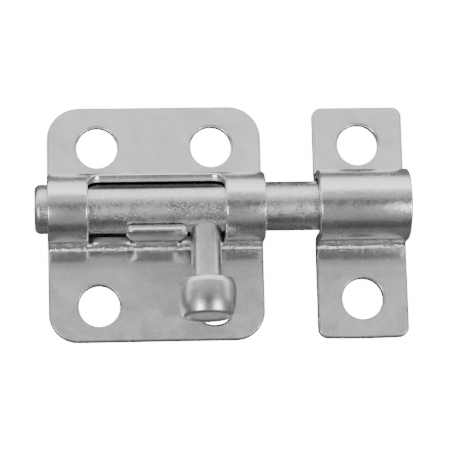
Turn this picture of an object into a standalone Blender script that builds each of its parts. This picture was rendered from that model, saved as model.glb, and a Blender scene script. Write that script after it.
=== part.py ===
"""Surface barrel bolt: a stamped case, a round bolt with a handle pin, and a separate keeper.

Units are metres. +X runs along the bolt towards the keeper, +Z comes out of the door, and the
handle lies on the -Y side. The backs of both plates are in the plane Z = 0. While the pieces are
built, the bolt's axis is at Y = 0 and the middle of the case is at X = 0. A parent empty then
moves everything so that the origin is under the middle of the whole part.
"""

from math import acos, asin, atan, atan2, cos, degrees, hypot, pi, radians, sin, tan

import bmesh
import bpy
from mathutils import Matrix

MM = 0.001

# Sheet, for the case and the keeper
SHEET = 1.1 * MM
FOOT_INNER_RADIUS = 0.35 * MM  # inside of the bend where a guide meets its flange

# Bolt
ROD_RADIUS = 3.175 * MM
ROD_CHAMFER = 0.45 * MM
ROD_TAIL = 1.6 * MM  # how far the bolt stands out behind the case
ROD_END_RECESS = 1.5 * MM  # the bolt's end stops this far inside the keeper's far side
ROD_BACK_GAP = 0.825 * MM  # bolt's underside above the door face

# Case
CASE_LENGTH = 27.8 * MM
UPPER_FLANGE = 8.975 * MM  # flat flange, from the foot of the guide to the edge
LOWER_FLANGE = 11.975 * MM
UPPER_CORNER_RADIUS = 4.2 * MM
LOWER_CORNER_RADIUS = 3.75 * MM
LOWER_EDGE_TRIM = 0.2 * MM  # the lower edge is sheared this far inside the corner arcs
GUIDE_CLEARANCE = 0.2 * MM  # bolt to guide, all round
BAND_WIDTH = 5.2 * MM
WINDOW_TOP_ANGLE = radians(22)  # window's upper edge, above the horizontal through the bolt's axis
WINDOW_CORNER_RADIUS = 1.8 * MM
TAB_TOP_ANGLE = radians(42)
TAB_CORNER_RADIUS = 0.5 * MM
TAB_NECK_INSET = 1.15 * MM  # the tab narrows by this much on each side, down to its neck
TAB_NECK_START = 0.65 * MM  # below the tab's top
TAB_NECK_RUN = 2.2 * MM  # measured along the sheet
NOTCH_PLAY = 0.45 * MM  # stem to notch wall, on each side
FLOOR_DROP = 1.45 * MM  # the notch floors fall away by this much at their ends
FLOOR_SHOULDER_RADIUS = 1.6 * MM

# Screw holes, the upper ones in line across the case and the keeper
HOLE_RADIUS = 2.7 * MM
HOLE_SIDE_INSET = 6.5 * MM  # from the sides of the case
UPPER_HOLE_FROM_FOOT = 3.675 * MM
LOWER_HOLE_FROM_FOOT = 7.325 * MM

# Keeper
KEEPER_GAP = 6.8 * MM  # between the case and the keeper
KEEPER_WIDTH = 11.8 * MM
KEEPER_CLEARANCE = 0.35 * MM
KEEPER_HOLE_RISE = 0.4 * MM  # its lower hole stands this much nearer to the bolt than the case's
KEEPER_UPPER_FLANGE = 8.525 * MM
KEEPER_LOWER_FLANGE = 11.775 * MM
KEEPER_CORNER_RADIUS = 1.25 * MM
KEEPER_END_BULGE = 0.15 * MM  # the lower end is sheared to a shallow curve

# Handle pin
STEM_RADIUS = 1.975 * MM
STEM_ROOT_GAP = 0.1 * MM  # between the stem's saddle foot and the bolt
STEM_SEAT_GAP = 0.2 * MM  # between the resting stem and the notch floor
KNOB_STANDOFF = 4.975 * MM  # from the outside of the guide to the knob's shoulder
SHOULDER_RADIUS = 2.95 * MM  # flat shoulder under the knob, before it rounds outwards
SHOULDER_FILLET = 0.25 * MM
KNOB_RADIUS = 3.775 * MM
KNOB_SWELL = 1.5 * MM  # from the shoulder out to the widest ring
KNOB_LENGTH = 4.95 * MM
KNOB_END_RADIUS = 3.15 * MM
KNOB_END_ROUND = 0.35 * MM
KNOB_RIM = 0.55 * MM  # raised rim around the dished end
KNOB_DISH = 0.3 * MM
KNOB_REST_GAP = 0.2 * MM  # between the resting knob and the flange

# Values that follow from the ones above
AXIS_HEIGHT = ROD_BACK_GAP + ROD_RADIUS
CASE_BEND = ROD_RADIUS + GUIDE_CLEARANCE + SHEET / 2  # guide's radius at mid-sheet
KEEPER_BEND = ROD_RADIUS + KEEPER_CLEARANCE + SHEET / 2
FOOT_BEND = FOOT_INNER_RADIUS + SHEET / 2
LEG = AXIS_HEIGHT - SHEET / 2 - FOOT_BEND  # upright part of a guide, below the bolt's axis
CASE_HALF = CASE_LENGTH / 2
WINDOW_HALF = CASE_HALF - BAND_WIDTH
NOTCH_WIDTH = 2 * (STEM_RADIUS + NOTCH_PLAY)
TAB_HALF = WINDOW_HALF - NOTCH_WIDTH
HANDLE_X = WINDOW_HALF - NOTCH_WIDTH / 2
SHOULDER_REACH = CASE_BEND + SHEET / 2 + KNOB_STANDOFF  # from the bolt's axis
CASE_FOOT = CASE_BEND + FOOT_BEND
KEEPER_FOOT = KEEPER_BEND + FOOT_BEND
CASE_TOP = CASE_FOOT + UPPER_FLANGE
CASE_BOTTOM = CASE_FOOT + LOWER_FLANGE
KEEPER_TOP = KEEPER_FOOT + KEEPER_UPPER_FLANGE
KEEPER_BOTTOM = KEEPER_FOOT + KEEPER_LOWER_FLANGE + KEEPER_END_BULGE
UPPER_HOLE_Y = CASE_FOOT + UPPER_HOLE_FROM_FOOT
LOWER_HOLE_Y = CASE_FOOT + LOWER_HOLE_FROM_FOOT
KEEPER_NEAR = CASE_HALF + KEEPER_GAP
KEEPER_MIDDLE = KEEPER_NEAR + KEEPER_WIDTH / 2
KEEPER_FAR = KEEPER_NEAR + KEEPER_WIDTH
ROD_START = -CASE_HALF - ROD_TAIL
ROD_END = KEEPER_FAR - ROD_END_RECESS

# Fineness of the solids
GUIDE_STRIPS = 24  # flat strips round a guide's half circle
FOOT_STRIPS = 4
HOLE_SIDES = 32
CORNER_STEPS = 6
TURNED_SIDES = 48
FINE_CUT = 1e-7

WHOLE = "barrel_bolt"


def rest_angle():
    """The handle's angle above the door face when its knob is down, just clear of the flange."""
    ring = SHOULDER_REACH + KNOB_SWELL
    drop = SHEET + KNOB_REST_GAP - AXIS_HEIGHT
    return asin(drop / hypot(ring, KNOB_RADIUS)) + atan(KNOB_RADIUS / ring)


def notch_floor_height():
    """Height of the notch floors above the door face, just under the resting stem."""
    angle = rest_angle()
    return AXIS_HEIGHT + CASE_BEND * tan(angle) - STEM_RADIUS / cos(angle) - STEM_SEAT_GAP


def arc(x, y, radius, start, end, steps=CORNER_STEPS):
    """Points along an arc, with its angles in degrees."""
    angles = [radians(start + (end - start) * n / steps) for n in range(steps + 1)]
    return [(x + radius * cos(a), y + radius * sin(a)) for a in angles]


def flat_length(bend):
    """Length of sheet from a guide's crest to the end of its foot bend."""
    return bend * pi / 2 + LEG + FOOT_BEND * pi / 2


def flattened(bend, distance):
    """Where a point on a flange lies on the flat blank, for its distance from the bolt's axis."""
    return flat_length(bend) + distance - bend - FOOT_BEND


def bent(bend, x, v, w):
    """Carry a point of the flat blank to its place on the pressed sheet.

    v runs across the blank from the guide's crest, and w is the height above mid-sheet.
    """
    side = 1 if v >= 0 else -1
    along = abs(v)
    crest, leg_end, foot_end = bend * pi / 2, bend * pi / 2 + LEG, flat_length(bend)
    if along <= crest:
        turn = along / bend
        return x, side * (bend + w) * sin(turn), AXIS_HEIGHT + (bend + w) * cos(turn)
    if along <= leg_end:
        return x, side * (bend + w), AXIS_HEIGHT - (along - crest)
    if along <= foot_end:
        turn = (along - leg_end) / FOOT_BEND
        out = bend + FOOT_BEND - (FOOT_BEND - w) * cos(turn)
        return x, side * out, SHEET / 2 + FOOT_BEND - (FOOT_BEND - w) * sin(turn)
    return x, side * (bend + FOOT_BEND + along - foot_end), SHEET / 2 + w


def bend_lines(bend):
    """The lines along which the blank is divided before it is bent."""
    crest = bend * pi / 2
    guide = [crest * (2 * n / GUIDE_STRIPS - 1) for n in range(GUIDE_STRIPS + 1)]
    foot = [crest + LEG + FOOT_BEND * pi / 2 * n / FOOT_STRIPS for n in range(FOOT_STRIPS + 1)]
    return guide + foot + [-v for v in foot]


def material(name, colour, roughness, metallic=1.0):
    made = bpy.data.materials.new(name)
    made.use_nodes = True
    shader = made.node_tree.nodes["Principled BSDF"]
    shader.inputs["Base Color"].default_value = (*colour, 1)
    shader.inputs["Roughness"].default_value = roughness
    shader.inputs["Metallic"].default_value = metallic
    made.diffuse_color = (*colour, 1)
    return made


def add_object(name, data, collection, surface=None):
    made = bpy.data.objects.new(name, data)
    collection.objects.link(made)
    if surface:
        data.materials.append(surface)
    return made


def blank_mesh(name, outlines, collection):
    """A flat blank of the sheet's thickness, with every outline after the first cut out of it.

    The outlines are filled at a scale of millimetres, where Blender's curve filling is exact.
    """
    curve = bpy.data.curves.new(f"{name}_blank", "CURVE")
    curve.dimensions = "2D"
    curve.fill_mode = "BOTH"
    curve.extrude = SHEET / 2 / MM
    for outline in outlines:
        spline = curve.splines.new("POLY")
        spline.points.add(len(outline) - 1)
        for point, (x, y) in zip(spline.points, outline):
            point.co = (x / MM, y / MM, 0, 1)
        spline.use_cyclic_u = True
    blank = add_object(f"{name}_blank", curve, collection)
    bpy.context.view_layer.update()
    graph = bpy.context.evaluated_depsgraph_get()
    mesh = bpy.data.meshes.new_from_object(blank.evaluated_get(graph))
    bpy.data.objects.remove(blank)
    bpy.data.curves.remove(curve)
    mesh.name = name
    mesh.transform(Matrix.Scale(MM, 4))
    return mesh


def press_sheet(name, outlines, bend, x, collection, surface):
    """Cut a blank, divide it along its bend lines and bend it round the bolt's axis."""
    mesh = blank_mesh(name, outlines, collection)
    work = bmesh.new()
    work.from_mesh(mesh)
    bmesh.ops.remove_doubles(work, verts=work.verts, dist=FINE_CUT)
    for v in bend_lines(bend):
        everything = [*work.verts, *work.edges, *work.faces]
        bmesh.ops.bisect_plane(
            work, geom=everything, dist=FINE_CUT, plane_co=(0, v, 0), plane_no=(0, 1, 0)
        )
    for vert in work.verts:
        vert.co = bent(bend, *vert.co)
    bmesh.ops.triangulate(work, faces=work.faces)
    bmesh.ops.recalc_face_normals(work, faces=work.faces)
    work.to_mesh(mesh)
    work.free()
    made = add_object(name, mesh, collection, surface)
    made.location.x = x
    mesh.shade_smooth()
    mesh.set_sharp_from_angle(angle=radians(30))
    return made


def notch_side(tab_top):
    """Outline of the right-hand notch on the flat blank, from the tab's top to the end band.

    The tab's side swings in to a narrower neck. The floor is a flat with a round shoulder at
    each end, one falling to the neck and one to the band.
    """
    floor = -(CASE_BEND * pi / 2 + AXIS_HEIGHT - notch_floor_height())
    neck = TAB_HALF - TAB_NECK_INSET
    neck_start = tab_top - TAB_NECK_START
    steps = [n / CORNER_STEPS for n in range(CORNER_STEPS + 1)]
    inset = [TAB_NECK_INSET * (1 - cos(pi * t)) / 2 for t in steps]
    shoulder = FLOOR_SHOULDER_RADIUS
    fall = degrees(asin(1 - FLOOR_DROP / shoulder))
    run = shoulder * cos(radians(fall))
    top = tab_top - TAB_CORNER_RADIUS
    return [
        *arc(TAB_HALF - TAB_CORNER_RADIUS, top, TAB_CORNER_RADIUS, 90, 0),
        *[(TAB_HALF - dx, neck_start - TAB_NECK_RUN * t) for dx, t in zip(inset, steps)],
        *arc(neck + run, floor - shoulder, shoulder, 180 - fall, 90),
        *arc(WINDOW_HALF - run, floor - shoulder, shoulder, 90, fall),
    ]


def window_outline():
    """The window over the bolt, with the retaining tab standing between its two notches."""
    top = CASE_BEND * (pi / 2 - WINDOW_TOP_ANGLE)
    tab_top = -CASE_BEND * (pi / 2 - TAB_TOP_ANGLE)
    x, y = WINDOW_HALF - WINDOW_CORNER_RADIUS, top - WINDOW_CORNER_RADIUS
    right = notch_side(tab_top)
    left = [(-px, py) for px, py in reversed(right)]
    return [
        *arc(x, y, WINDOW_CORNER_RADIUS, 0, 90),
        *arc(-x, y, WINDOW_CORNER_RADIUS, 90, 180),
        *left,
        *right,
    ]


def hole_outline(x, bend, distance, side):
    """One screw hole, at its distance above (side 1) or below (side -1) the bolt's axis."""
    return arc(x, side * flattened(bend, distance), HOLE_RADIUS, 0, 360, HOLE_SIDES)[:-1]


def case_plate(collection, surface):
    top = flattened(CASE_BEND, CASE_TOP)
    bottom = -flattened(CASE_BEND, CASE_BOTTOM)
    low = bottom - LOWER_EDGE_TRIM + LOWER_CORNER_RADIUS
    turn = degrees(acos(1 - LOWER_EDGE_TRIM / LOWER_CORNER_RADIUS))
    upper_x = CASE_HALF - UPPER_CORNER_RADIUS
    lower_x = CASE_HALF - LOWER_CORNER_RADIUS
    sheared = [
        *arc(upper_x, top - UPPER_CORNER_RADIUS, UPPER_CORNER_RADIUS, 0, 90),
        *arc(-upper_x, top - UPPER_CORNER_RADIUS, UPPER_CORNER_RADIUS, 90, 180),
        *arc(-lower_x, low, LOWER_CORNER_RADIUS, 180, 270 - turn),
        *arc(lower_x, low, LOWER_CORNER_RADIUS, 270 + turn, 360),
    ]
    hole_x = CASE_HALF - HOLE_SIDE_INSET
    holes = []
    for x in (-hole_x, hole_x):
        holes.append(hole_outline(x, CASE_BEND, UPPER_HOLE_Y, 1))
        holes.append(hole_outline(x, CASE_BEND, LOWER_HOLE_Y, -1))
    outlines = [sheared, window_outline(), *holes]
    return press_sheet("case_plate", outlines, CASE_BEND, 0, collection, surface)


def keeper(collection, surface):
    """The keeper's strap. Its lower end is a shallow arc through the ends of its corners."""
    top = flattened(KEEPER_BEND, KEEPER_TOP) - KEEPER_CORNER_RADIUS
    bottom = -flattened(KEEPER_BEND, KEEPER_BOTTOM)
    x = KEEPER_WIDTH / 2 - KEEPER_CORNER_RADIUS
    low = bottom + KEEPER_END_BULGE + KEEPER_CORNER_RADIUS
    end_radius = (x**2 + KEEPER_END_BULGE**2) / (2 * KEEPER_END_BULGE)
    half_turn = degrees(asin(x / end_radius))
    strap = [
        *arc(x, top, KEEPER_CORNER_RADIUS, 0, 90),
        *arc(-x, top, KEEPER_CORNER_RADIUS, 90, 180),
        *arc(-x, low, KEEPER_CORNER_RADIUS, 180, 270)[:-1],
        *arc(0, bottom + end_radius, end_radius, 270 - half_turn, 270 + half_turn),
        *arc(x, low, KEEPER_CORNER_RADIUS, 270, 360)[1:],
    ]
    upper = hole_outline(0, KEEPER_BEND, UPPER_HOLE_Y, 1)
    lower = hole_outline(0, KEEPER_BEND, LOWER_HOLE_Y - KEEPER_HOLE_RISE, -1)
    outlines = [strap, upper, lower]
    return press_sheet("keeper", outlines, KEEPER_BEND, KEEPER_MIDDLE, collection, surface)


def turned(name, profile, collection, surface):
    """A solid turned about Z from a profile that starts and ends on the axis, top to bottom."""
    mesh = bpy.data.meshes.new(name)
    edges = [(n, n + 1) for n in range(len(profile) - 1)]
    mesh.from_pydata([(radius, 0, height) for radius, height in profile], edges, [])
    made = add_object(name, mesh, collection, surface)
    screw = made.modifiers.new("turn", "SCREW")
    screw.axis = "Z"
    screw.steps = TURNED_SIDES
    screw.render_steps = TURNED_SIDES
    screw.use_merge_vertices = True
    screw.merge_threshold = FINE_CUT
    return made


def bolt_rod(collection, surface):
    length = ROD_END - ROD_START
    profile = [
        (0, length),
        (ROD_RADIUS - ROD_CHAMFER, length),
        (ROD_RADIUS, length - ROD_CHAMFER),
        (ROD_RADIUS, ROD_CHAMFER),
        (ROD_RADIUS - ROD_CHAMFER, 0),
        (0, 0),
    ]
    made = turned("bolt_rod", profile, collection, surface)
    made.location = (ROD_START, 0, AXIS_HEIGHT)
    made.rotation_euler = (0, pi / 2, 0)
    return made


def knob_profile():
    """The knob's outline from the middle of its dished end down to the stem."""
    end = SHOULDER_REACH + KNOB_LENGTH
    ring = SHOULDER_REACH + KNOB_SWELL
    rim = KNOB_END_RADIUS - KNOB_RIM
    taper = degrees(atan2(KNOB_RADIUS - KNOB_END_RADIUS, end - ring))
    swell = KNOB_RADIUS - SHOULDER_RADIUS
    swelling = [radians(90 * n / CORNER_STEPS) for n in range(CORNER_STEPS, -1, -1)]
    return [
        (0, end - KNOB_DISH),
        (rim * 0.7, end - KNOB_DISH),
        (rim, end),
        *arc(KNOB_END_RADIUS - KNOB_END_ROUND, end - KNOB_END_ROUND, KNOB_END_ROUND, 90, taper, 4),
        *[(SHOULDER_RADIUS + swell * sin(a), ring - KNOB_SWELL * cos(a)) for a in swelling],
        (STEM_RADIUS + SHOULDER_FILLET, SHOULDER_REACH),
        *arc(
            STEM_RADIUS + SHOULDER_FILLET,
            SHOULDER_REACH - SHOULDER_FILLET,
            SHOULDER_FILLET,
            90,
            180,
            3,
        )[1:],
    ]


def handle_pin(collection, cutters, surface):
    """The handle pin. Its foot is a saddle round the bolt, so that it can turn about the axis."""
    root = ROD_RADIUS / 2
    profile = [*knob_profile(), (STEM_RADIUS, root), (0, root)]
    made = turned("handle_pin", profile, collection, surface)
    made.location = (HANDLE_X, 0, AXIS_HEIGHT)
    made.rotation_euler = (pi / 2 - rest_angle(), 0, 0)
    reach = 2 * ROD_RADIUS
    outline = [
        (0, reach),
        (ROD_RADIUS + STEM_ROOT_GAP, reach),
        (ROD_RADIUS + STEM_ROOT_GAP, -reach),
        (0, -reach),
    ]
    cutter = turned("bolt_clearance", outline, cutters, None)
    cutter.location = made.location
    cutter.rotation_euler = (0, pi / 2, 0)
    cutter.hide_render = True
    cutter.display_type = "WIRE"
    cut = made.modifiers.new("saddle", "BOOLEAN")
    cut.operation = "DIFFERENCE"
    cut.solver = "EXACT"
    cut.object = cutter
    return made, cutter


def main():
    for old in list(bpy.data.objects):
        bpy.data.objects.remove(old)
    parts = bpy.data.collections.new(WHOLE)
    cutters = bpy.data.collections.new(f"{WHOLE}_cutters")
    bpy.context.scene.collection.children.link(parts)
    bpy.context.scene.collection.children.link(cutters)

    plated = material("plated_sheet", (0.72, 0.72, 0.71), 0.28)
    drawn = material("plated_bar", (0.62, 0.62, 0.61), 0.36)
    headed = material("plated_pin", (0.70, 0.69, 0.67), 0.24)
    strap = material("plated_strap", (0.72, 0.72, 0.71), 0.28)

    pin, cutter = handle_pin(parts, cutters, headed)
    pieces = [
        case_plate(parts, plated),
        bolt_rod(parts, drawn),
        pin,
        keeper(parts, strap),
        cutter,
    ]

    frame = bpy.data.objects.new(f"{WHOLE}_frame", None)
    parts.objects.link(frame)
    left, right = min(ROD_START, -CASE_HALF), max(KEEPER_FAR, ROD_END)
    bottom, top = -max(CASE_BOTTOM, KEEPER_BOTTOM), max(CASE_TOP, KEEPER_TOP)
    frame.location = (-(left + right) / 2, -(bottom + top) / 2, 0)
    for piece in pieces:
        piece.parent = frame


main()
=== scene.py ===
"""Looks for a small surface barrel bolt: case pressing, bolt bar, handle pin and keeper strap.

Everything is in metres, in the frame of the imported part: +X along the bolt towards the keeper,
+Y away from the handle, +Z out of the door, with the backs of both plates at Z = 0.
"""

from math import asin, atan, cos, hypot, pi, radians, sin

import bmesh
import bpy
from bpy.props import FloatProperty, FloatVectorProperty, PointerProperty
from mathutils import Matrix, Vector


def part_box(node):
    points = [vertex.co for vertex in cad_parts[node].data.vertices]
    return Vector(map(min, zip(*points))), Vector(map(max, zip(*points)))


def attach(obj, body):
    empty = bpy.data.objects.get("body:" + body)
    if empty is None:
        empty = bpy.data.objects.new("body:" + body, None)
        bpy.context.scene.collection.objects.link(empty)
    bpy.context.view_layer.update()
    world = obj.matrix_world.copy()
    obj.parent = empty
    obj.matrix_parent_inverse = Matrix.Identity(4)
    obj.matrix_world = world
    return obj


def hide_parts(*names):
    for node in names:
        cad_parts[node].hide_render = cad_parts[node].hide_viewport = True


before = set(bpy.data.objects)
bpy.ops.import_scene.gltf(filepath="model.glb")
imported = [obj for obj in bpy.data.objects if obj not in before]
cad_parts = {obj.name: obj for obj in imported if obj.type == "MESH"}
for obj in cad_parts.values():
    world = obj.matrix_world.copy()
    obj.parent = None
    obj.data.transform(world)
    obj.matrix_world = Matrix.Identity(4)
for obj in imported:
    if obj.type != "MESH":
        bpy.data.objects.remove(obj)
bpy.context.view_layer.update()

bl_info = {
    "name": "Barrel Bolt",
    "version": (1, 0, 0),
    "blender": (4, 5, 0),
    "location": "3D View > Sidebar > Barrel Bolt",
    "description": "Builds a small zinc plated surface barrel bolt and a studio to show it in",
    "category": "Add Mesh",
}

MM = 0.001

# Where things are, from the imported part
ROD_LOW, ROD_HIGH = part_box("bolt_rod")
CASE_LOW, CASE_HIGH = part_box("case_plate")
KEEPER_LOW, KEEPER_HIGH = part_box("keeper")
AXIS_Y = (ROD_LOW.y + ROD_HIGH.y) / 2
AXIS_Z = (ROD_LOW.z + ROD_HIGH.z) / 2
ROD_RADIUS = (ROD_HIGH.z - ROD_LOW.z) / 2
CASE_X = (CASE_LOW.x + CASE_HIGH.x) / 2
KEEPER_X = (KEEPER_LOW.x + KEEPER_HIGH.x) / 2
HANDLE_LOW, HANDLE_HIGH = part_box("handle_pin")
HANDLE_X = (HANDLE_LOW.x + HANDLE_HIGH.x) / 2

# Shapes that both pressings share
FOOT_INNER_RADIUS = 0.35 * MM
GUIDE_STRIPS = 64
FOOT_STRIPS = 8
SCREW_HOLE_SIDES = 64
FLAT_INSET = 0.05 * MM  # keeps the shading of the flat faces flat beside their rounded edges
SQUARE = 0.9999  # how far a face has to point along Z to count as a face of the flat blank
FINE = 1e-7

# Screw holes, from the bolt's axis across the plates, and from the case's sides
UPPER_HOLE = 8.5 * MM
LOWER_HOLE = 12.15 * MM
KEEPER_LOWER_HOLE = 11.75 * MM
CASE_HOLE_INSET = 6.5 * MM

# The case's window, with its tab and its two notches
WINDOW_TOP = radians(68)  # round the guide from its crest
TAB_TOP = radians(48)
TAB_HALF = 3.85 * MM
TAB_NECK_HALF = 2.7 * MM
NOTCH_FLOOR = 2.19 * MM  # above the door
NOTCH_RELIEF = 0.78 * MM  # narrow cuts below the floor, at the notch's corners
NOTCH_EASE = 0.22 * MM

KEEPER_END_BULGE = 0.15 * MM
KNOB_REST_GAP = 0.2 * MM  # between the resting knob and the flange

# The studio: places, aims and sizes in metres
PANEL_PLACE = (0, 0.20, 0.25)
PANEL_AIM = (0, 0.20, 0)
PANEL_SIZE = (0.5, 0.30)
LAMP_PLACE = (0.26, -0.14, 0.345)  # the right one; the left one mirrors it
LAMP_SIZE = (0.09, 0.16)
FLOOR_HALF = 1.5
FLOOR_DROP = 0.2 * MM  # below the backs of the plates
SHADED_STRIP = (CASE_HIGH.x - CASE_X - 3 * MM, 3.6 * MM)  # half its length and width
AIM = Vector((CASE_X + 9.06 * MM, AXIS_Y - 1.68 * MM, 0))

# Brightness of the room against degrees of lean from overhead, positive away from the handle
ROOM_LEVELS = (
    (-180, 0.12),
    (-110, 0.12),
    (-85, 0.08),
    (-65, 0.1),
    (-50, 0.34),
    (-18, 0.28),
    (-7, 0.14),
    (4, 0.08),
    (10, 0.1),
    (20, 0.14),
    (38, 0.16),
    (44, 2.4),
    (70, 2.2),
    (95, 1.6),
    (130, 0.9),
    (180, 0.12),
)


def length(name, description, value, low=0.0, high=0.1):
    """A size property in metres."""
    return FloatProperty(
        name=name,
        description=description,
        default=value,
        min=low,
        max=high,
        precision=5,
        subtype="DISTANCE",
        unit="LENGTH",
    )


def share(name, description, value):
    """A property that runs from nothing to full."""
    return FloatProperty(
        name=name, description=description, default=value, min=0, max=1, subtype="FACTOR"
    )


def angle(name, description, value):
    return FloatProperty(
        name=name, description=description, default=value, subtype="ANGLE", unit="ROTATION"
    )


def colour(name, description, value):
    return FloatVectorProperty(
        name=name, description=description, default=value, size=3, min=0, max=1, subtype="COLOR"
    )


def light_level(name, description, value):
    return FloatProperty(name=name, description=description, default=value, min=0, max=100)


# ---------------------------------------------------------------- settings


class PressingSettings(bpy.types.PropertyGroup):
    """Sizes and finish of the case and the keeper."""

    sheet: length("Sheet", "Thickness of the steel sheet", 1.1 * MM)
    front_round: length("Front edges", "Rounding of the sheared edges on the front", 0.3 * MM)
    back_round: length("Back edges", "Rounding of the sheared edges on the back", 0.1 * MM)
    hole: length("Holes", "Radius of the screw holes", 2.62 * MM)
    case_upper_corner: length("Case upper corners", "Radius of the upper corners", 4.2 * MM)
    case_lower_corner: length("Case lower corners", "Radius of the lower corners", 3.75 * MM)
    keeper_corner: length("Keeper corners", "Radius of the keeper's corners", 1.25 * MM)
    band: length("End bands", "Width of the bands that carry the bolt", 5.2 * MM)
    tint: colour("Plating", "Colour of the plated sheet", (0.80, 0.80, 0.79))
    roughness: share("Roughness", "How satin the plated sheet is", 0.42)


class BoltSettings(bpy.types.PropertyGroup):
    """Finish of the round bolt."""

    chamfer: length("Chamfer", "Chamfer at both ends", 0.45 * MM)
    tint: colour("Plating", "Colour of the plated bar", (0.74, 0.74, 0.735))
    roughness: share("Roughness", "How satin the plated bar is", 0.24)


class HandleSettings(bpy.types.PropertyGroup):
    """Sizes and finish of the handle pin."""

    stem: length("Stem", "Radius of the stem", 1.975 * MM)
    root_gap: length("Root", "Gap between the stem's saddle foot and the bolt", 0.03 * MM)
    shoulder: length("Shoulder", "From the bolt's axis to the knob's shoulder", 9.5 * MM)
    knob: length("Knob", "Radius of the knob at its widest ring", 3.775 * MM)
    knob_length: length("Knob length", "From the shoulder to the knob's end", 4.95 * MM)
    dish: length("Dish", "Depth of the hollow in the knob's end", 0.3 * MM)
    tint: colour("Plating", "Colour of the plated pin", (0.70, 0.695, 0.685))
    roughness: share("Roughness", "How satin the plated pin is", 0.32)


class StudioSettings(bpy.types.PropertyGroup):
    """Camera and light."""

    lens: FloatProperty(
        name="Lens", description="Focal length in millimetres", default=180.8, min=20, max=400
    )
    distance: length("Distance", "From the camera to the point it is aimed at", 0.2933, 0.05, 2)
    tilt: angle("Tilt", "Camera's lean towards the handle's side", radians(9.48))
    swing: angle("Swing", "Camera's lean towards the bolt's tail", radians(3.98))
    roll: angle("Roll", "Turn of the camera about its own axis", radians(-1.51))
    floor: colour("Floor", "Colour of the floor as the metal sees it", (0.12, 0.12, 0.12))
    backdrop: light_level("Backdrop", "Brightness of the floor and backdrop themselves", 16)
    panel: light_level("Panel", "Brightness of the overhead panel", 0.5)
    lamps: light_level("Lamps", "Brightness of the two side lamps", 18)


# ---------------------------------------------------------------- mesh tools


def add_piece(name, mesh_data, surface, body, node):
    """Finish a bmesh as a piece that rides on its body and stands for its CAD node."""
    mesh = bpy.data.meshes.new(name)
    mesh_data.to_mesh(mesh)
    mesh_data.free()
    mesh.shade_smooth()
    mesh.materials.append(surface)
    made = bpy.data.objects.new(name, mesh)
    bpy.context.scene.collection.objects.link(made)
    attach(made, body)
    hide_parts(node)


def rounded_outline(work, corners, segments=8):
    """Draw a flat outline from a few corners, each (x, y, how far its rounding cuts back)."""
    verts = [work.verts.new((x, y, 0)) for x, y, _ in corners]
    face = work.faces.new(verts)
    by_size = {}
    for vert, (_, _, cut) in zip(verts, corners):
        if cut:
            by_size.setdefault(cut, []).append(vert)
    before = set(work.edges) - set(face.edges)
    for cut, chosen in by_size.items():
        bmesh.ops.bevel(
            work,
            geom=chosen,
            offset=cut,
            offset_type="OFFSET",
            segments=segments,
            profile=0.5,
            affect="VERTICES",
            material=-1,
        )
    faces = {f for e in work.edges if e not in before for f in e.link_faces}
    bmesh.ops.delete(work, geom=list(faces), context="FACES_ONLY")


def guide_lengths(bend, sheet):
    """The radius at the foot, and how far along the blank the crest, upright and foot end."""
    foot_bend = FOOT_INNER_RADIUS + sheet / 2
    crest = bend * pi / 2
    foot = crest + AXIS_Z - sheet / 2 - foot_bend
    return foot_bend, crest, foot, foot + foot_bend * pi / 2


def bend_point(bend, sheet, co):
    """Carry a point of the flat blank to its place on the pressed sheet."""
    foot_bend, crest, foot, flat = guide_lengths(bend, sheet)
    side, along, w = (1 if co.y >= 0 else -1), abs(co.y), co.z
    if along <= crest:
        turn = along / bend
        return co.x, side * (bend + w) * sin(turn), AXIS_Z + (bend + w) * cos(turn)
    if along <= foot:
        return co.x, side * (bend + w), AXIS_Z - (along - crest)
    if along <= flat:
        turn = (along - foot) / foot_bend
        out = bend + foot_bend - (foot_bend - w) * cos(turn)
        return co.x, side * out, sheet / 2 + foot_bend - (foot_bend - w) * sin(turn)
    return co.x, side * (bend + foot_bend + along - flat), sheet / 2 + w


def blank_place(bend, sheet, distance):
    """Where a point on a flange lies on the flat blank, for its distance from the bolt's axis."""
    foot_bend, _, _, flat = guide_lengths(bend, sheet)
    return flat + distance - bend - foot_bend


def punch_hole(work, x, y, radius):
    """Draw the outline of a round hole on the flat blank."""
    bmesh.ops.create_circle(
        work, segments=SCREW_HOLE_SIDES, radius=radius, matrix=Matrix.Translation((x, y, 0))
    )


def thicken(work, sheet):
    """Fill the drawn outlines and give them the sheet's thickness, half to each side."""
    bmesh.ops.remove_doubles(work, verts=work.verts, dist=FINE)
    bmesh.ops.triangle_fill(work, edges=work.edges, use_beauty=True, normal=(0, 0, 1))
    bmesh.ops.translate(work, verts=work.verts, vec=(0, 0, -sheet / 2))
    raised = bmesh.ops.extrude_face_region(work, geom=work.faces[:], use_keep_orig=True)
    upper = [item for item in raised["geom"] if isinstance(item, bmesh.types.BMVert)]
    bmesh.ops.translate(work, verts=upper, vec=(0, 0, sheet))
    bmesh.ops.recalc_face_normals(work, faces=work.faces)


def round_rims(work, sheet, level, rounding):
    """Round the sheared edges of one face of the blank, the front (1) or the back (-1)."""
    rims = [
        e
        for e in work.edges
        if all(v.co.z * level > sheet * 0.49 for v in e.verts)
        and len(e.link_faces) == 2
        and abs(e.link_faces[0].normal.z) + abs(e.link_faces[1].normal.z) < 1.5
    ]
    bmesh.ops.bevel(
        work,
        geom=rims,
        offset=rounding,
        offset_type="OFFSET",
        segments=4,
        profile=0.5,
        affect="EDGES",
        clamp_overlap=False,
        loop_slide=False,
        material=-1,
    )


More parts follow.
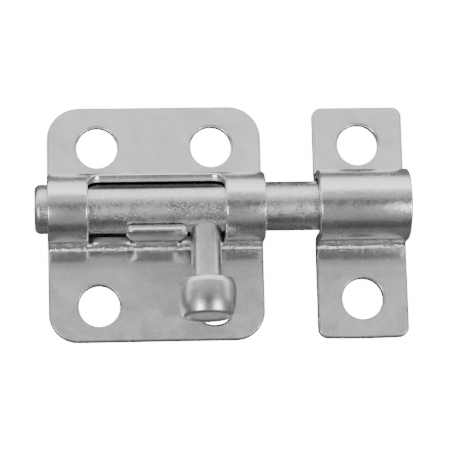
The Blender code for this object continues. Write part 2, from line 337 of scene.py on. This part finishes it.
def score_bends(work, bend, sheet):
    """Cut the blank along the lines where it bends, and drop the slanting edges between them."""
    foot_bend, _, foot, flat = guide_lengths(bend, sheet)
    lines = [bend * pi * (n / GUIDE_STRIPS - 0.5) for n in range(GUIDE_STRIPS + 1)]
    for n in range(FOOT_STRIPS + 1):
        line = foot + foot_bend * pi / 2 * n / FOOT_STRIPS
        lines += [line, -line]
    for line in lines:
        everything = [*work.verts, *work.edges, *work.faces]
        bmesh.ops.bisect_plane(
            work, geom=everything, dist=FINE, plane_co=(0, line, 0), plane_no=(0, 1, 0)
        )
    slanting = [
        e
        for e in work.edges
        if abs(e.verts[0].co.y - e.verts[1].co.y) > 10 * FINE
        and all(abs(v.co.y) < flat + FINE for v in e.verts)
        and len(e.link_faces) == 2
        and all(abs(f.normal.z) > SQUARE for f in e.link_faces)
    ]
    bmesh.ops.dissolve_edges(work, edges=slanting, use_verts=True)


def press_sheet(work, bend, settings, x):
    """Make the drawn outlines a sheet with rounded edges, and press the guide into it."""
    sheet = settings.sheet
    thicken(work, sheet)
    round_rims(work, sheet, 1, settings.front_round)
    round_rims(work, sheet, -1, settings.back_round)
    flats = [f for f in work.faces if abs(f.normal.z) > SQUARE]
    bmesh.ops.inset_region(
        work, faces=flats, thickness=FLAT_INSET, use_boundary=True, use_even_offset=True
    )
    score_bends(work, bend, sheet)
    depth = work.verts.layers.float.new("depth")
    for vert in work.verts:
        vert[depth] = vert.co.z / sheet + 0.5
        vert.co = bend_point(bend, sheet, vert.co)
    bmesh.ops.translate(work, verts=work.verts, vec=(x, AXIS_Y, 0))
    bmesh.ops.recalc_face_normals(work, faces=work.faces)


def turn_profile(work, corners, sides, inner_cuts=0):
    """Turn a profile about Z. Its first and last corners lie on the axis."""
    rounded_outline(work, corners, segments=6)
    on_axis = [e for e in work.edges if all(abs(v.co.x) < FINE for v in e.verts)]
    bmesh.ops.delete(work, geom=on_axis, context="EDGES")
    if inner_cuts:
        low = min(v.co.y for v in work.verts)
        floor = [e for e in work.edges if all(v.co.y < low + FINE for v in e.verts)]
        bmesh.ops.subdivide_edges(work, edges=floor, cuts=inner_cuts)
    bmesh.ops.rotate(
        work, verts=work.verts, cent=(0, 0, 0), matrix=Matrix.Rotation(pi / 2, 3, "X")
    )
    bmesh.ops.spin(
        work,
        geom=[*work.verts, *work.edges],
        cent=(0, 0, 0),
        axis=(0, 0, 1),
        dvec=(0, 0, 0),
        angle=2 * pi,
        steps=sides,
        use_merge=True,
    )
    bmesh.ops.remove_doubles(work, verts=work.verts, dist=FINE)
    bmesh.ops.recalc_face_normals(work, faces=work.faces)


# ---------------------------------------------------------------- finishes


class Nodes:
    """A small helper that adds and joins the nodes of one tree."""

    def __init__(self, tree):
        self.tree = tree

    def node(self, kind, **settings):
        made = self.tree.nodes.new("ShaderNode" + kind)
        for name, value in settings.items():
            setattr(made, name, value)
        return made

    def put(self, target, value):
        """Set a socket to a number, or join it to another node's output."""
        if isinstance(value, bpy.types.NodeSocket):
            self.tree.links.new(value, target)
        else:
            target.default_value = value

    def separate(self, vector):
        """The X, Y and Z of a vector."""
        made = self.node("SeparateXYZ")
        self.put(made.inputs["Vector"], vector)
        return [made.outputs[axis] for axis in "XYZ"]

    def math(self, operation, first, second=0.0):
        made = self.node("Math", operation=operation)
        self.put(made.inputs[0], first)
        self.put(made.inputs[1], second)
        return made.outputs["Value"]

    def plus(self, first, second):
        return self.math("ADD", first, second)

    def times(self, first, second):
        return self.math("MULTIPLY", first, second)

    def rest_of(self, part):
        """What a share leaves of the whole."""
        return self.math("SUBTRACT", 1.0, part)

    def spread(self, value, low, high, to_low, to_high, smooth=False):
        made = self.node("MapRange", interpolation_type="SMOOTHSTEP" if smooth else "LINEAR")
        for socket, item in zip(made.inputs, (value, low, high, to_low, to_high)):
            self.put(socket, item)
        return made.outputs["Result"]


class Finish(Nodes):
    """The nodes of one plated finish."""

    def __init__(self, name, settings):
        self.material = bpy.data.materials.new(name)
        self.material.use_nodes = True
        super().__init__(self.material.node_tree)
        self.tint = tuple(settings.tint)
        self.roughness = settings.roughness
        self.material.diffuse_color = (*self.tint, 1)
        self.shader = self.tree.nodes["Principled BSDF"]
        self.give("Metallic", 1)
        self.give("Roughness", self.roughness)
        self.give("Base Color", (*self.tint, 1))
        self.place = self.node("TexCoord").outputs["Object"]

    def give(self, socket, value):
        """Give one of the shader's own sockets its number or its pattern."""
        self.put(self.shader.inputs[socket], value)

    def noise(self, grain, detail=3.0, rough=0.55, stretch=(1, 1, 1), warp=0.0):
        """Noise whose blotches are about grain metres across."""
        mapped = self.node("Mapping")
        self.put(mapped.inputs["Vector"], self.place)
        self.put(mapped.inputs["Scale"], stretch)
        made = self.node("TexNoise")
        self.put(made.inputs["Vector"], mapped.outputs["Vector"])
        self.put(made.inputs["Scale"], 1 / grain)
        self.put(made.inputs["Detail"], detail)
        self.put(made.inputs["Roughness"], rough)
        self.put(made.inputs["Distortion"], warp)
        return made.outputs["Fac"]

    def cells(self, grain):
        """Small crystals about grain metres across, each with its own level."""
        made = self.node("TexVoronoi", feature="F1")
        self.put(made.inputs["Vector"], self.place)
        self.put(made.inputs["Scale"], 1 / grain)
        apart = self.node("SeparateColor")
        self.put(apart.inputs["Color"], made.outputs["Color"])
        return apart.outputs["Red"]

    def blend(self, factor, first, second):
        made = self.node("Mix", data_type="RGBA")
        self.put(made.inputs["Factor"], factor)
        self.put(made.inputs[6], first)
        self.put(made.inputs[7], second)
        return made.outputs[2]

    def shade(self, by):
        """The plating's colour, darker below 1 and lighter above it."""
        return (*[c * by for c in self.tint], 1)

    def tones(self, factor, dark, light):
        """Run between two shades of the plating's colour."""
        return self.blend(factor, self.shade(dark), self.shade(light))

    def clouds(self, blotch, grain, of_blotch):
        """Soft clouds mixed from a coarse and a fine noise."""
        cloud = self.plus(self.times(blotch, of_blotch), self.times(grain, 1 - of_blotch))
        return self.spread(cloud, 0.36, 0.64, 0.0, 1.0, smooth=True)

    def satin(self, blotch, smoother, rougher):
        """Roughness that wanders a little around the finish's own."""
        return self.spread(
            blotch, 0.3, 0.7, self.roughness - smoother, self.roughness + rougher
        )

    def bump(self, height, depth, strength=1.0, under=None):
        """Raise the surface by up to depth metres where height is 1."""
        made = self.node("Bump")
        self.put(made.inputs["Distance"], depth)
        self.put(made.inputs["Strength"], strength)
        self.put(made.inputs["Height"], height)
        if under is not None:
            self.put(made.inputs["Normal"], under)
        return made.outputs["Normal"]


def plated_sheet(name, settings, bend):
    """Bright zinc on pressed sheet: satin flats, burnished guide, dull sheared edges."""
    finish = Finish(name, settings)
    grain = finish.noise(0.36 * MM, detail=4, rough=0.6)
    blotch = finish.noise(3.2 * MM, detail=4, rough=0.6, warp=0.4)
    rolled = finish.noise(0.5 * MM, detail=3, stretch=(1, 0.12, 1))
    wave = finish.noise(7 * MM, detail=1)
    glint = finish.noise(0.36 * MM, detail=2, rough=0.7)
    shear = finish.noise(0.16 * MM, detail=2, stretch=(1, 1, 0.2))
    spangle = finish.cells(0.42 * MM)

    # Places on the pressing: down runs from the bolt's axis towards the handle's side
    outer = bend + settings.sheet / 2
    _, across, height = finish.separate(finish.place)
    down = finish.math("SUBTRACT", AXIS_Y, across)
    from_foot = finish.math("SUBTRACT", down, outer + 0.1 * MM)
    raised = finish.spread(height, 1.5 * MM, 3 * MM, 0.0, 1.0, smooth=True)
    on_flange = finish.rest_of(raised)
    above = finish.math("LESS_THAN", down, -outer)
    below = finish.math("GREATER_THAN", from_foot, 0.42 * MM)
    upper_side = finish.times(raised, finish.math("LESS_THAN", down, 0.0))

    # Where the die struck the foot of the guide: a crush line, painted white as a painted glint,
    # and a slight fall towards it
    near = finish.math("ABSOLUTE", finish.math("SUBTRACT", from_foot, 0.12 * MM))
    crush_and_glint = finish.times(finish.spread(near, 0.26 * MM, 0.36 * MM, 1.0, 0.0), on_flange)
    ridge = finish.spread(from_foot, -0.1 * MM, 0.5 * MM, 1.0, 0.0)
    fall = finish.spread(from_foot, 0.3 * MM, 4.5 * MM, 1.0, 0.0)
    fall = finish.times(finish.times(fall, fall), -1.0)
    near_foot = finish.times(below, finish.spread(from_foot, 1.8 * MM, 3 * MM, 1.0, 0.0))
    sprung = finish.spread(down, -CASE_HIGH.y, -outer, 0.0, 1.0)

    # Sheared edges: a bright burnished lip in front, and a dull torn face behind it
    depth = finish.node("Attribute", attribute_name="depth").outputs["Fac"]
    lip = finish.spread(raised, 0.0, 1.0, 0.62, 0.36)
    torn_from = finish.spread(depth, 0.03, 0.12, 0.0, 1.0)
    torn_to = finish.spread(depth, lip, finish.plus(lip, 0.14), 1.0, 0.0)
    torn = finish.times(torn_from, torn_to)
    front_half = finish.math("GREATER_THAN", depth, 0.5)
    rolled_edge = finish.times(finish.spread(depth, 0.95, 0.99, 1.0, 0.0), front_half)
    rolled_edge = finish.times(rolled_edge, on_flange)
    crease_from = finish.spread(depth, 0.965, 0.975, 0.0, 0.8)
    crease = finish.times(finish.spread(depth, 0.995, 0.999, 1.0, 0.0), crease_from)
    crease = finish.times(crease, on_flange)
    inside = finish.times(finish.math("LESS_THAN", depth, 0.02), upper_side)

    cloud = finish.clouds(blotch, grain, 0.45)
    # Painted light: the flange above the guide, away from the handle, is painted lighter than the
    # one below it, which the guide shades
    tone = finish.blend(above, finish.tones(cloud, 0.89, 1.05), finish.tones(cloud, 0.99, 1.15))
    # Painted shade: the flange just beyond the foot of the guide is painted darker, where the
    # guide's wall keeps light off it
    tone = finish.blend(near_foot, tone, finish.shade(0.72))
    # Painted glint: the crush line at the foot of the guide is painted white so that it shines
    tone = finish.blend(crush_and_glint, tone, (1, 1, 1, 1))
    # Painted shade: a dark line is painted along the top of the rounded front edges on the
    # flange, round the holes and the outline
    tone = finish.blend(crease, tone, finish.shade(0.4))
    # Painted shade: the inner face of the guide's upper side is painted nearly black, where the
    # guide keeps light off it
    tone = finish.blend(inside, tone, finish.shade(0.12))
    # The torn face is dull, and its tone also steps by place as painted light and shade: darkest
    # on the flange, lighter on the guide, and painted lighter than the plating on the guide's
    # upper side
    ragged_and_painted_light = finish.blend(raised, finish.tones(shear, 0.2, 0.45), finish.tones(shear, 0.45, 0.75))
    ragged_and_painted_light = finish.blend(upper_side, ragged_and_painted_light, finish.shade(1.1))
    finish.give("Base Color", finish.blend(torn, tone, ragged_and_painted_light))

    satin = finish.satin(blotch, 0.03, 0.04)
    for part, change in (
        (raised, -0.2),
        (spangle, 0.05),
        (crush_and_glint, -0.22),
        (near_foot, -0.26),
        (rolled_edge, -0.2),
        (torn, 0.2),
    ):
        satin = finish.plus(satin, finish.times(part, change))
    finish.give("Roughness", satin)

    pitted = finish.spread(raised, 0.0, 1.0, 0.6, 1.0)
    normal = finish.bump(wave, 0.04 * MM)
    normal = finish.bump(fall, 0.7 * MM, strength=below, under=normal)
    normal = finish.bump(sprung, 1.3 * MM, strength=above, under=normal)
    normal = finish.bump(ridge, 0.17 * MM, strength=crush_and_glint, under=normal)
    normal = finish.bump(rolled, 0.003 * MM, under=normal)
    normal = finish.bump(grain, 0.022 * MM, strength=pitted, under=normal)
    normal = finish.bump(glint, 0.24 * MM, strength=crush_and_glint, under=normal)
    finish.give("Normal", normal)
    return finish.material


def plated_bar(name, settings):
    """Bright zinc on drawn bar: finely spangled, with a few draw lines along the bar."""
    finish = Finish(name, settings)
    grain = finish.noise(0.22 * MM, detail=4, rough=0.65)
    blotch = finish.noise(2.4 * MM, detail=4, rough=0.6, warp=0.6)
    drawn = finish.noise(0.3 * MM, detail=3, stretch=(0.05, 1, 1))
    spangle = finish.cells(0.4 * MM)
    along, width, _ = finish.separate(finish.place)
    across = finish.math("SUBTRACT", width, AXIS_Y)

    # It gets little light where it runs close to the upper wall of the case's window
    hidden = finish.spread(across, ROD_RADIUS * 0.58, ROD_RADIUS * 0.7, 0.0, 1.0, smooth=True)
    for side, end in ((1, CASE_LOW.x + 5 * MM), (-1, CASE_HIGH.x - 5 * MM)):
        inward = finish.times(finish.math("SUBTRACT", along, end), side)
        hidden = finish.times(hidden, finish.math("GREATER_THAN", inward, 0.0))
    tone = finish.tones(finish.clouds(blotch, grain, 0.5), 0.82, 1.06)
    finish.give("Base Color", finish.blend(hidden, tone, finish.shade(0.1)))

    satin = finish.satin(blotch, 0.04, 0.06)
    finish.give("Roughness", finish.plus(satin, finish.times(spangle, 0.06)))

    # The grain is worn off along both sides, where the bar rubs in the guides
    kept = finish.spread(finish.math("ABSOLUTE", across), ROD_RADIUS * 0.5, ROD_RADIUS, 1.0, 0.15)
    normal = finish.bump(drawn, 0.006 * MM)
    normal = finish.bump(spangle, 0.008 * MM, strength=kept, under=normal)
    normal = finish.bump(grain, 0.04 * MM, strength=kept, under=normal)
    finish.give("Normal", normal)
    return finish.material


def plated_pin(name, settings):
    """Bright zinc on a headed pin: tumbled smooth, with small shallow dents."""
    finish = Finish(name, settings)
    grain = finish.noise(0.35 * MM, detail=3, rough=0.55)
    blotch = finish.noise(2.0 * MM, detail=4, rough=0.6, warp=0.5)
    dents = finish.noise(1.1 * MM, detail=1)
    finish.give("Base Color", finish.tones(finish.clouds(blotch, grain, 0.7), 0.92, 1.04))
    finish.give("Roughness", finish.satin(blotch, 0.04, 0.05))
    normal = finish.bump(dents, 0.02 * MM)
    finish.give("Normal", finish.bump(grain, 0.01 * MM, under=normal))
    return finish.material


# ---------------------------------------------------------------- pieces


class BARREL_OT_case(bpy.types.Operator):
    """Press the case: flanges, screw holes, guide with its end bands, window and retaining tab"""

    bl_idname = "barrel_bolt.case"
    bl_label = "Case"

    def execute(self, context):
        use = context.scene.barrel_pressing
        bend = CASE_HIGH.z - AXIS_Z - use.sheet / 2
        half = (CASE_HIGH.x - CASE_LOW.x) / 2
        top = blank_place(bend, use.sheet, CASE_HIGH.y - AXIS_Y)
        bottom = -blank_place(bend, use.sheet, AXIS_Y - CASE_LOW.y)
        work = bmesh.new()
        high, low = use.case_upper_corner, use.case_lower_corner
        rounded_outline(
            work,
            [
                (half, top, high),
                (-half, top, high),
                (-half, bottom, low),
                (half, bottom, low),
            ],
            segments=16,
        )
        for x in (CASE_HOLE_INSET - half, half - CASE_HOLE_INSET):
            punch_hole(work, x, blank_place(bend, use.sheet, UPPER_HOLE), use.hole)
            punch_hole(work, x, -blank_place(bend, use.sheet, LOWER_HOLE), use.hole)
        rounded_outline(work, self.window(bend, half - use.band))
        press_sheet(work, bend, use, CASE_X)
        surface = plated_sheet("case sheet", use, bend)
        add_piece("case_pressing", work, surface, "case", "case_plate")
        return {"FINISHED"}

    def window(self, bend, edge):
        """Corners of the window: both notches, with the tab left standing between them."""
        window_top = bend * WINDOW_TOP
        tab_top = -bend * TAB_TOP
        floor = -(bend * pi / 2 + AXIS_Z - NOTCH_FLOOR)
        relief = floor - NOTCH_RELIEF
        ease = floor - NOTCH_EASE
        right = [
            (edge, window_top, 1.8 * MM),
            (edge, relief, 0.08 * MM),
            (edge - 0.24 * MM, relief, 0.08 * MM),
            (edge - 0.55 * MM, ease, 0.3 * MM),
            (edge - 1.5 * MM, floor, 0.45 * MM),
            (TAB_NECK_HALF + 1.5 * MM, floor, 0.45 * MM),
            (TAB_NECK_HALF + 0.55 * MM, ease, 0.3 * MM),
            (TAB_NECK_HALF + 0.24 * MM, relief, 0.08 * MM),
            (TAB_NECK_HALF, relief, 0.08 * MM),
            (TAB_NECK_HALF, floor + 1.85 * MM, 1.0 * MM),
            (TAB_HALF, tab_top - 1.3 * MM, 0.42 * MM),
            (TAB_HALF, tab_top, 0.85 * MM),
        ]
        left = [(-x, y, cut) for x, y, cut in reversed(right)]
        return right + left


class BARREL_OT_keeper(bpy.types.Operator):
    """Press the keeper: a strap with its own guide and two screw holes"""

    bl_idname = "barrel_bolt.keeper"
    bl_label = "Keeper"

    def execute(self, context):
        use = context.scene.barrel_pressing
        bend = KEEPER_HIGH.z - AXIS_Z - use.sheet / 2
        half = (KEEPER_HIGH.x - KEEPER_LOW.x) / 2
        top = blank_place(bend, use.sheet, KEEPER_HIGH.y - AXIS_Y)
        bottom = -blank_place(bend, use.sheet, AXIS_Y - KEEPER_LOW.y)
        corner = use.keeper_corner
        side_bottom = bottom + KEEPER_END_BULGE
        work = bmesh.new()
        rounded_outline(
            work,
            [
                (half, top, corner),
                (-half, top, corner),
                (-half, side_bottom, corner),
                (0, bottom, 2.5 * MM),
                (half, side_bottom, corner),
            ],
            segments=10,
        )
        punch_hole(work, 0, blank_place(bend, use.sheet, UPPER_HOLE), use.hole)
        punch_hole(work, 0, -blank_place(bend, use.sheet, KEEPER_LOWER_HOLE), use.hole)
        press_sheet(work, bend, use, KEEPER_X)
        surface = plated_sheet("keeper sheet", use, bend)
        add_piece("keeper_strap", work, surface, "keeper", "keeper")
        return {"FINISHED"}


class BARREL_OT_bolt(bpy.types.Operator):
    """Turn the round bolt with its chamfered ends"""

    bl_idname = "barrel_bolt.bolt"
    bl_label = "Bolt"

    def execute(self, context):
        use = context.scene.barrel_bar
        reach = ROD_HIGH.x - ROD_LOW.x
        cut, softened = use.chamfer, 0.25 * MM
        work = bmesh.new()
        turn_profile(
            work,
            [
                (0, 0, 0),
                (ROD_RADIUS - cut, 0, softened),
                (ROD_RADIUS, cut, softened),
                (ROD_RADIUS, reach - cut, softened),
                (ROD_RADIUS - cut, reach, softened),
                (0, reach, 0),
            ],
            sides=128,
        )
        bmesh.ops.rotate(
            work, verts=work.verts, cent=(0, 0, 0), matrix=Matrix.Rotation(pi / 2, 3, "Y")
        )
        bmesh.ops.translate(work, verts=work.verts, vec=(ROD_LOW.x, AXIS_Y, AXIS_Z))
        surface = plated_bar("bolt bar", use)
        add_piece("bolt_bar", work, surface, "bolt", "bolt_rod")
        return {"FINISHED"}


class BARREL_OT_handle(bpy.types.Operator):
    """Turn the handle pin: a stem on a saddle foot, and a knob with a dished end"""

    bl_idname = "barrel_bolt.handle"
    bl_label = "Handle pin"

    def execute(self, context):
        use = context.scene.barrel_pin
        sheet = context.scene.barrel_pressing.sheet
        stem, knob, start = use.stem, use.knob, use.shoulder
        end = start + use.knob_length
        root = ROD_RADIUS / 2  # inside the bolt, until the footing is moved out onto it
        work = bmesh.new()
        turn_profile(
            work,
            [
                (0, root, 0),
                (stem, root, 0),
                (stem, start, 0.22 * MM),
                (knob - 0.4 * MM, start, 0.3 * MM),
                (knob, start + 0.6 * MM, 0.45 * MM),
                (knob, start + 2.3 * MM, 0.7 * MM),
                (knob - 0.12 * MM, start + 3.7 * MM, 0.5 * MM),
                (knob - 0.5 * MM, end, 0.3 * MM),
                (knob - 1.14 * MM, end, 0.1 * MM),
                (knob - 1.4 * MM, end - use.dish * 0.75, 0.2 * MM),
                (0, end - use.dish, 0),
            ],
            sides=96,
            inner_cuts=5,
        )
        foot = ROD_RADIUS + use.root_gap
        footing = {v for v in work.verts if v.co.z < root + FINE}
        for edge in work.edges:
            rim = all(v in footing and v.co.xy.length > stem - FINE for v in edge.verts)
            edge.smooth = not rim
        for vert in footing:
            vert.co.z = (foot**2 - vert.co.y**2) ** 0.5
        # It rests where the knob's widest ring would all but touch the flange
        ring = start + 1.5 * MM
        rest = asin((sheet + KNOB_REST_GAP - AXIS_Z) / hypot(ring, knob)) + atan(knob / ring)
        bmesh.ops.rotate(
            work, verts=work.verts, cent=(0, 0, 0), matrix=Matrix.Rotation(pi / 2 - rest, 3, "X")
        )
        bmesh.ops.translate(work, verts=work.verts, vec=(HANDLE_X, AXIS_Y, AXIS_Z))
        surface = plated_pin("handle pin", use)
        add_piece("handle_pin_headed", work, surface, "handle", "handle_pin")
        return {"FINISHED"}


# ---------------------------------------------------------------- studio


class BARREL_OT_studio(bpy.types.Operator):
    """Lay a plain pale floor, set the soft lights and aim the camera"""

    bl_idname = "barrel_bolt.studio"
    bl_label = "Studio"

    def execute(self, context):
        use = context.scene.barrel_studio
        self.lay_floor(context, use)
        self.hang_lights(context, use)
        self.light_room(context, use)
        self.aim_camera(context, use)
        return {"FINISHED"}

    def shown_white(self, nodes, kind, plain, level, where=1.0):
        """Mix a shader with a plain bright one that only the camera meets directly."""
        direct = nodes.node("LightPath").outputs["Is Camera Ray"]
        bright = nodes.node(kind)
        nodes.put(bright.inputs["Color"], (1, 1, 1, 1))
        nodes.put(bright.inputs["Strength"], level)
        mixed = nodes.node("MixShader")
        nodes.put(mixed.inputs[0], nodes.times(direct, where))
        nodes.put(mixed.inputs[1], plain)
        nodes.put(mixed.inputs[2], bright.outputs[0])
        return mixed.outputs[0]

    def outside_guide(self, nodes):
        """1 on the open floor, 0 on the shaded strip of it under the case's guide."""
        mapped = nodes.node("Mapping", vector_type="TEXTURE")
        nodes.put(mapped.inputs["Vector"], nodes.node("TexCoord").outputs["Object"])
        nodes.put(mapped.inputs["Location"], (CASE_X, AXIS_Y, 0))
        nodes.put(mapped.inputs["Scale"], (*SHADED_STRIP, 1))
        along, across, _ = nodes.separate(mapped.outputs["Vector"])
        along, across = nodes.math("ABSOLUTE", along), nodes.math("ABSOLUTE", across)
        return nodes.math("GREATER_THAN", nodes.math("MAXIMUM", along, across), 1.0)

    def lay_floor(self, context, use):
        work = bmesh.new()
        lowered = Matrix.Translation((0, 0, -FLOOR_DROP))
        bmesh.ops.create_grid(work, x_segments=1, y_segments=1, size=FLOOR_HALF, matrix=lowered)
        mesh = bpy.data.meshes.new("floor")
        work.to_mesh(mesh)
        work.free()
        floor = bpy.data.objects.new("floor", mesh)
        context.scene.collection.objects.link(floor)
        card = bpy.data.materials.new("pale card")
        card.use_nodes = True
        nodes = Nodes(card.node_tree)
        shader = card.node_tree.nodes["Principled BSDF"]
        nodes.put(shader.inputs["Base Color"], (*use.floor, 1))
        nodes.put(shader.inputs["Roughness"], 0.9)
        where = self.outside_guide(nodes)
        shown = self.shown_white(nodes, "Emission", shader.outputs["BSDF"], use.backdrop, where)
        nodes.put(card.node_tree.nodes["Material Output"].inputs["Surface"], shown)
        mesh.materials.append(card)

    def add_light(self, context, name, place, aim, size, level):
        """A rectangular soft light whose face has a given brightness."""
        light = bpy.data.lights.new(name, "AREA")
        light.shape = "RECTANGLE"
        light.size, light.size_y = size
        light.energy = level * pi * size[0] * size[1]
        made = bpy.data.objects.new(name, light)
        context.scene.collection.objects.link(made)
        facing = (Vector(place) - Vector(aim)).to_track_quat("Z", "Y")
        made.matrix_world = Matrix.Translation(place) @ facing.to_matrix().to_4x4()
        made.visible_camera = False

    def hang_lights(self, context, use):
        self.add_light(context, "overhead panel", PANEL_PLACE, PANEL_AIM, PANEL_SIZE, use.panel)
        out, forward, height = LAMP_PLACE
        for name, side in (("left lamp", -1), ("right lamp", 1)):
            place = (side * out, forward, height)
            self.add_light(context, name, place, (0, 0, 0), LAMP_SIZE, use.lamps)

    def light_room(self, context, use):
        """A soft room whose brightness changes with the height and side it is seen on."""
        world = bpy.data.worlds.new("studio room")
        context.scene.world = world
        world.use_nodes = True
        nodes = Nodes(world.node_tree)
        plain = world.node_tree.nodes["Background"]
        _, across, height = nodes.separate(nodes.node("TexCoord").outputs["Generated"])
        lean = nodes.spread(nodes.math("ARCTAN2", across, height), -pi, pi, 0.0, 1.0)
        ramp = nodes.node("ValToRGB")
        nodes.put(ramp.inputs["Fac"], lean)
        stops = ramp.color_ramp
        stops.interpolation = "LINEAR"
        brightest = max(level for _, level in ROOM_LEVELS)
        while len(stops.elements) < len(ROOM_LEVELS):
            stops.elements.new(0.5)
        for stop, (degrees, level) in zip(stops.elements, ROOM_LEVELS):
            stop.position = (degrees + 180) / 360
            stop.color = (*[level / brightest] * 3, 1)
        nodes.put(plain.inputs["Color"], ramp.outputs["Color"])
        nodes.put(plain.inputs["Strength"], brightest)
        surface = plain.outputs["Background"]
        shown = self.shown_white(nodes, "Background", surface, use.backdrop)
        nodes.put(world.node_tree.nodes["World Output"].inputs["Surface"], shown)

    def aim_camera(self, context, use):
        back = Vector(
            (-sin(use.swing), -sin(use.tilt) * cos(use.swing), cos(use.tilt) * cos(use.swing))
        ).normalized()
        right = Vector((0, 1, 0)).cross(back).normalized()
        up = back.cross(right)
        turned_right = right * cos(use.roll) + up * sin(use.roll)
        turned_up = up * cos(use.roll) - right * sin(use.roll)
        camera = bpy.data.cameras.new("studio camera")
        camera.lens = use.lens
        camera.sensor_width = 36
        camera.clip_start = 0.01
        camera.clip_end = 10
        made = bpy.data.objects.new("studio camera", camera)
        context.scene.collection.objects.link(made)
        axes = Matrix((turned_right, turned_up, back)).transposed().to_4x4()
        made.matrix_world = Matrix.Translation(AIM + back * use.distance) @ axes
        context.scene.camera = made


class BARREL_PT_panel(bpy.types.Panel):
    """Steps and settings of the barrel bolt"""

    bl_idname = "BARREL_PT_panel"
    bl_label = "Barrel Bolt"
    bl_space_type = "VIEW_3D"
    bl_region_type = "UI"
    bl_category = "Barrel Bolt"

    def draw(self, context):
        layout = self.layout
        for step in STEPS:
            layout.operator(step.bl_idname)
        for group in SETTINGS:
            box = layout.box()
            holder = getattr(context.scene, group)
            for name in SETTINGS[group].__annotations__:
                box.prop(holder, name)


STEPS = (BARREL_OT_case, BARREL_OT_bolt, BARREL_OT_handle, BARREL_OT_keeper, BARREL_OT_studio)
SETTINGS = {
    "barrel_pressing": PressingSettings,
    "barrel_bar": BoltSettings,
    "barrel_pin": HandleSettings,
    "barrel_studio": StudioSettings,
}


def register():
    for made in (*SETTINGS.values(), *STEPS, BARREL_PT_panel):
        bpy.utils.register_class(made)
    for name, group in SETTINGS.items():
        setattr(bpy.types.Scene, name, PointerProperty(type=group))


def unregister():
    for name in SETTINGS:
        delattr(bpy.types.Scene, name)
    for made in reversed((*SETTINGS.values(), *STEPS, BARREL_PT_panel)):
        bpy.utils.unregister_class(made)


def main():
    register()
    bpy.ops.barrel_bolt.case()
    bpy.ops.barrel_bolt.bolt()
    bpy.ops.barrel_bolt.handle()
    bpy.ops.barrel_bolt.keeper()
    bpy.ops.barrel_bolt.studio()


if __name__ == "__main__":
    main()
